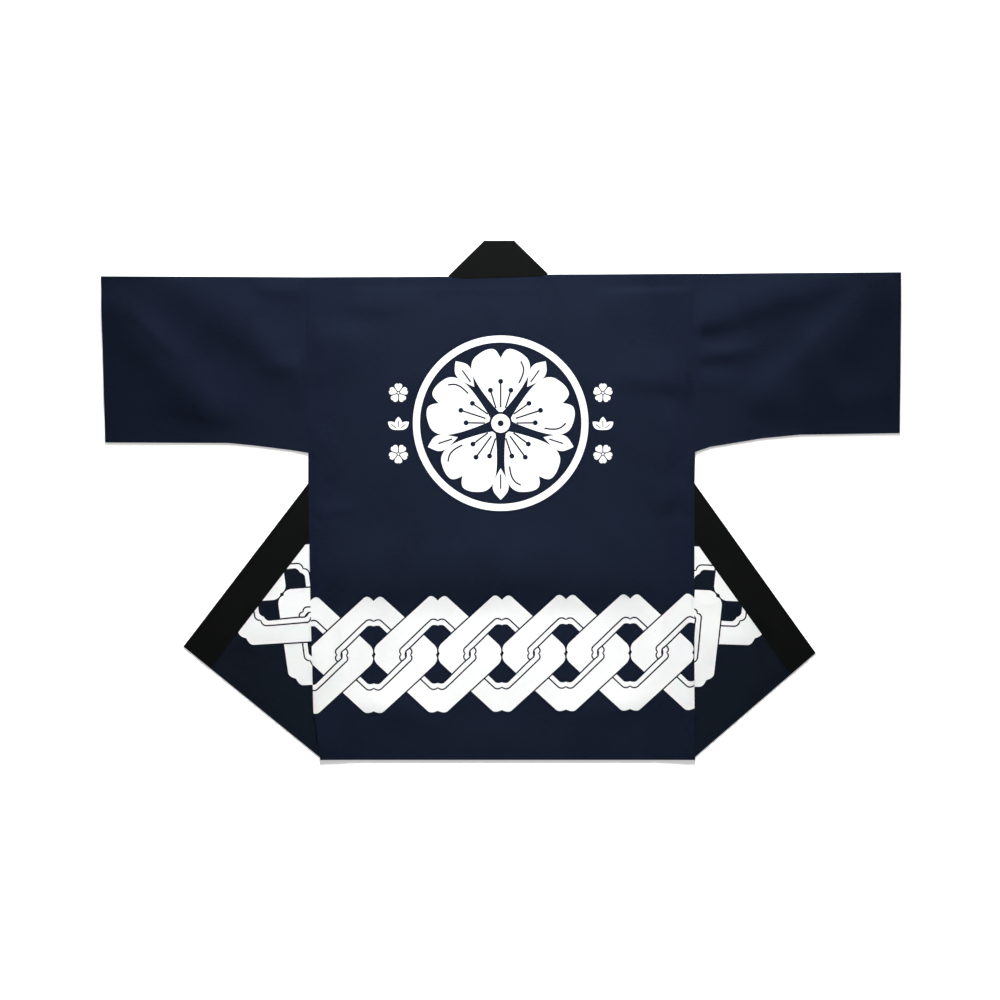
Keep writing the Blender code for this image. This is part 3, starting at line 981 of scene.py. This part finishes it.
def sew_front(side_name):
    """A front panel, turned out beneath itself along the slanting fold."""
    side = SIDES[side_name]
    sign = side["sign"]
    turn = turn_line(side)
    seam = band_seam(side, SEAM_GAP)
    seam_head = crossing(seam, turn)
    seam_foot = crossing(seam, hem_line(side))
    foot = np.array(side["turn_foot"])
    shoulder = shifted(roll_line(side), -(ROLL_PAST + GAP))
    lying = [seam_head, crossing(shoulder, neck_side_line(side)),
             crossing(shoulder, armhole_line(side)), side["armpit"], *side["side"], foot]
    turned_part = [unfold(point, turn, TURN_RADIUS) for point in (foot, seam_foot, seam_head)]

    def place(points):
        flat, drop = fold_under(points, turn, TURN_RADIUS)
        over = CLOTH / 2 + LIFT * lift_of_turned(flat, side)
        heights = np.where(drop == 0.0, over, CLOTH / 2 + LIFT - drop)
        return with_sign(flat, heights + ground(flat * (sign, 1)), sign)

    shapes = front_chain(side)
    piece, cut = sew_piece(f"front_{side_name}_cloth", lying + turned_part,
                           fold_scores(turn, TURN_RADIUS), shapes, HIDDEN_SPACING,
                           CLOTH_WALL, place, deep_navy_cotton, sign)
    ink = print_on(f"front_{side_name}_chain_print", cut, CLOTH_WALL, -1, shapes, white_ink)
    hem = shifted(hem_line(side), -FRONT_STITCHES_IN)
    row_ends = crossing(hem, turn), crossing(hem, band_seam(side, GAP + STITCHES_OFF_BAND))
    row = [unfold(point, turn, TURN_RADIUS) for point in row_ends]
    stitches = sew_stitches(f"front_{side_name}_hem_stitches", [row], place,
                            CLOTH_WALL / 2, CLOTH_PITCH, navy_thread)
    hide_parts("front_" + side_name)
    return piece, ink, stitches


# -------- back

HEM_RISE = 1.6
HEM_RISE_RUN = 80.0
BACK_RUMPLES = (Rumple(2.2, 90.0, 1.3), Rumple(0.6, 28.0, 5.2))
BACK_PUCKER = Rumple(1.5, 16.0, 4.6)
BACK_CALM = 10.0
# The back is calm at these heights and distances out, and beyond them
CALM_TOP = 352.0
CALM_OUT = 314.0
# The back rolls over the shoulder from this far short of the neck's corner
ROLL_MARGIN = 0.5
HEM_STITCHES_UP = HEM + 14.0
HEM_STITCHES = ((-297.0, HEM_STITCHES_UP), (318.0, HEM_STITCHES_UP))


def hem_rise(points, side):
    """How far the stiff hem stands off the ground between the fronts."""
    near_hem = 1 - smooth((points[:, 1] - HEM) / HEM_RISE_RUN)
    return HEM_RISE * near_hem * (1 - lift_of_front(points, side))


def sew_back():
    """The back panel, rolled over the shoulders and easing down between the fronts."""
    outline, scores, rolls, armholes = [], [], {}, {}
    for side in SIDES.values():
        sign = side["sign"]
        roll, armhole, neck = roll_line(side), armhole_line(side), neck_side_line(side)
        rolls[sign], armholes[sign] = roll, armhole
        seam = shifted(roll, -ROLL_PAST)
        corners = [side["hem_corner"], *reversed(side["side"]), side["armpit"],
                   crossing(armhole, roll),
                   unfold(crossing(seam, armhole), roll, ROLL_RADIUS),
                   unfold(crossing(seam, neck), roll, ROLL_RADIUS),
                   (neck.point[0], side["neck_base"][1] - SEAM_GAP)]
        half = [np.array(corner) * (sign, 1) for corner in corners]
        outline += half if sign < 0 else half[::-1]
        if sign < 0:
            outline += [np.array((out, up - SEAM_GAP)) for out, up in NECK_SEAM[1:-1]]
        scores += [np.array(score) * (sign, 1)
                   for score in fold_scores(roll, ROLL_RADIUS, neck)]
    edges = (Line(UP * CALM_TOP, UP), Line(UP * HEM, -UP),
             Line(OUT * CALM_OUT, OUT), Line(-OUT * CALM_OUT, -OUT))

    def place(points):
        laid = np.zeros((len(points), 3))
        for side in SIDES.values():
            sign = side["sign"]
            mine = (points[:, 0] < 0) == (sign < 0)
            out = points[mine] * (sign, 1)
            rolled, drop = fold_under(out, rolls[sign], ROLL_RADIUS)
            over_shoulder = out[:, 0] > side["neck_base"][0] - ROLL_MARGIN
            flat = np.where(over_shoulder[:, None], rolled, out)
            drop = np.where(over_shoulder, drop, 0.0)
            heights = CLOTH / 2 + back_height(flat, side) - drop
            plan = flat * (sign, 1)
            heights += ground(plan)
            heights += hem_rise(flat, side)
            soft = crease_heights(plan, BACK_CREASES) * calm(plan, edges, BACK_CALM)
            uneven = sum(rumpled(plan, rumple) for rumple in BACK_RUMPLES)
            soft += uneven * calm(plan, edges, RUMPLE_CALM)
            soft += puckers(flat, armholes[sign], BACK_PUCKER) * calm(plan, edges[:2], PUCKER_CALM)
            heights += np.where(drop == 0.0, soft, 0.0)
            laid[mine] = with_sign(flat, heights, sign)
        return laid

    shapes = back_chain() + badge() + small_prints()
    piece, cut = sew_piece("back_cloth", outline, scores, shapes, SPACING, CLOTH_WALL, place,
                           navy_cotton)
    chain_ink = print_on("back_chain_print", cut, CLOTH_WALL, 1, back_chain(), white_ink)
    badge_ink = print_on("back_blossom_badge", cut, CLOTH_WALL, 1, badge(), white_ink)
    small_ink = print_on("back_small_blossoms", cut, CLOTH_WALL, 1, small_prints(), white_ink)
    stitches = sew_stitches("back_hem_stitches", [HEM_STITCHES], place, CLOTH_WALL / 2,
                            CLOTH_PITCH, navy_thread)
    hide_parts("back_panel")
    return piece, chain_ink, badge_ink, small_ink, stitches


# -------- collar

BAND_STITCHES_IN = 4.0
STITCHES_OFF_HEM = 3.0


def sew_collar():
    """One doubled band: round the back neck, down each front, and turned out with it."""
    free_edge, seam_edge, scores, folds, rows = [], [], [], {}, []
    middle = Line(np.array((0.0, 0.0)), -OUT)
    for side in SIDES.values():
        sign = side["sign"]
        at_neck, turn = neck_line(side), turn_line(side)
        folds[sign] = (at_neck, turn)
        seam_head = crossing(band_seam(side, 0.0), turn)
        seam_foot = crossing(band_seam(side, 0.0), hem_line(side))
        top = crossing(at_neck, Line(np.array(side["neck_top"]), UP))
        base = crossing(at_neck, Line(np.array(side["neck_base"]), UP))

        def once(point, at_neck=at_neck):
            return unfold(point, at_neck, TURN_RADIUS)

        def twice(point, turn=turn, once=once):
            return once(unfold(point, turn, TURN_RADIUS))

        head = np.array(side["turn_head"])
        free = [top, once(top), once(head), twice(head)]
        free += [twice(np.array(point)) for point in side["turned_edge"]]
        free.append(twice(np.array(side["turned_corner"])))
        seam = [twice(seam_foot), twice(seam_head), once(seam_head), once(base), base]
        free_edge.append([point * (sign, 1) for point in free])
        seam_edge.append([point * (sign, 1) for point in seam])
        scores += [np.array(score) * (sign, 1)
                   for score in fold_scores(at_neck, TURN_RADIUS, middle)]
        for score in fold_scores(turn, TURN_RADIUS):
            bent = np.array([once(point) for point in score])
            scores.append(bent * (sign, 1))
        inset = band_seam(side, -BAND_STITCHES_IN)
        row_ends = crossing(inset, turn), crossing(inset, shifted(hem_line(side), -STITCHES_OFF_HEM))
        rows.append([twice(point) * (sign, 1) for point in row_ends])
    outline = free_edge[0][::-1] + free_edge[1] + seam_edge[1]
    outline += [np.array(point) for point in reversed(NECK_SEAM[1:-1])]
    outline += seam_edge[0][::-1]

    def place(points):
        laid = np.zeros((len(points), 3))
        for side in SIDES.values():
            sign = side["sign"]
            mine = (points[:, 0] < 0) == (sign < 0)
            at_neck, turn = folds[sign]
            flat, drop = fold_under(points[mine] * (sign, 1), at_neck, TURN_RADIUS)
            past = drop >= LIFT - TINY
            again, second = fold_under(flat, turn, TURN_RADIUS)
            flat = np.where(past[:, None], again, flat)
            drop = drop + np.where(past, second, 0.0)
            heights = BAND / 2 + 2 * LIFT - drop + ground(flat * (sign, 1))
            laid[mine] = with_sign(flat, heights, sign)
        return laid

    piece, _ = sew_piece("collar_band", outline, scores, [], HIDDEN_SPACING, BAND_WALL, place,
                         black_cotton)
    stitches = sew_stitches("collar_seam_stitches", rows, place, BAND_WALL / 2, BAND_PITCH,
                            black_thread)
    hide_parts("collar")
    return piece, stitches


# -------- the coat

back_piece, *back_extras = sew_back()
sleeves = {name: sew_sleeve(name) for name in SIDES}
fronts = {name: sew_front(name) for name in SIDES}
collar_piece, collar_stitches = sew_collar()

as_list(back_extras)
for name, (piece, *extras) in fronts.items():
    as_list(extras)


# -------- floor, light and camera

FLOOR_REACH = 30.0
FLOOR_DROP = 0.3 * MM
FILL_LIGHT = 0.11
CAMERA_PLACE = (-0.0016, 0.0, 3.89)


def pale_floor():
    """Pale paper whose glow is painted light: weakest near the middle, so the coat's shadows show,
    and brighter further out, where the lamps fall off.
    """
    material, surface = new_material("pale_paper_painted_glow")
    place = add_node(material, "ShaderNodeNewGeometry")
    distance = add_node(material, "ShaderNodeVectorMath", {"operation": "LENGTH"}, None,
                        {0: place.outputs["Position"]})
    # Painted light: the floor's glow rises from 0.47 near the middle to 0.7 far from it
    glow = add_node(material, "ShaderNodeMapRange", {"interpolation_type": "SMOOTHSTEP"},
                    {"From Min": 0.55, "From Max": 1.1, "To Min": 0.47, "To Max": 0.7},
                    {"Value": distance.outputs["Value"]})
    material.node_tree.links.new(glow.outputs["Result"], surface.inputs["Emission Strength"])
    set_sockets(surface, {"Base Color": linear("#f7f7f6"), "Roughness": 0.95,
                          "Specular IOR Level": 0.1, "Emission Color": linear("#ffffff")})
    mesh = bpy.data.meshes.new("paper_floor")
    corners = [(x * FLOOR_REACH, y * FLOOR_REACH, 0) for x, y in ((-1, -1), (1, -1), (1, 1), (-1, 1))]
    mesh.from_pydata(corners, [], [(0, 1, 2, 3)])
    mesh.materials.append(material)
    floor = bpy.data.objects.new("paper_floor", mesh)
    floor.location.z = -FLOOR_DROP
    bpy.context.scene.collection.objects.link(floor)


def soft_lamp(name, place, target, size, power, spread=180.0):
    """A rectangular lamp aimed at its target; sizes in metres, the spread in degrees."""
    lamp = bpy.data.lights.new(name, "AREA")
    lamp.shape = "RECTANGLE"
    lamp.size, lamp.size_y = size
    lamp.energy = power
    lamp.spread = math.radians(spread)
    holder = bpy.data.objects.new(name, lamp)
    holder.location = place
    aim = Vector(target) - Vector(place)
    holder.rotation_euler = aim.to_track_quat("-Z", "Y").to_euler()
    bpy.context.scene.collection.objects.link(holder)


def studio():
    """Soft light from above the neck, with a wide fill all round."""
    soft_lamp("gridded_softbox", place=(0.0, 4.4, 2.0), target=(0.0, 0.3, 0.0), size=(0.5, 1.5),
              power=15.8, spread=26.0)
    soft_lamp("neck_lamp", place=(0.0, 1.0, 0.75), target=(0.0, 0.1, 0.0), size=(0.36, 0.3),
              power=9.6)
    world = bpy.data.worlds.new("studio_air")
    world.use_nodes = True
    set_sockets(world.node_tree.nodes["Background"],
                {"Color": linear("#ffffff"), "Strength": FILL_LIGHT})
    bpy.context.scene.world = world
    bpy.context.scene.view_settings.view_transform = "Standard"


def camera():
    """Straight above the coat, looking down."""
    lens = bpy.data.cameras.new("overhead_camera")
    lens.lens = 85.0
    lens.sensor_width = 36.0
    lens.clip_end = 20.0
    holder = bpy.data.objects.new("overhead_camera", lens)
    holder.location = CAMERA_PLACE
    bpy.context.scene.collection.objects.link(holder)
    bpy.context.scene.camera = holder


pale_floor()
studio()
camera()
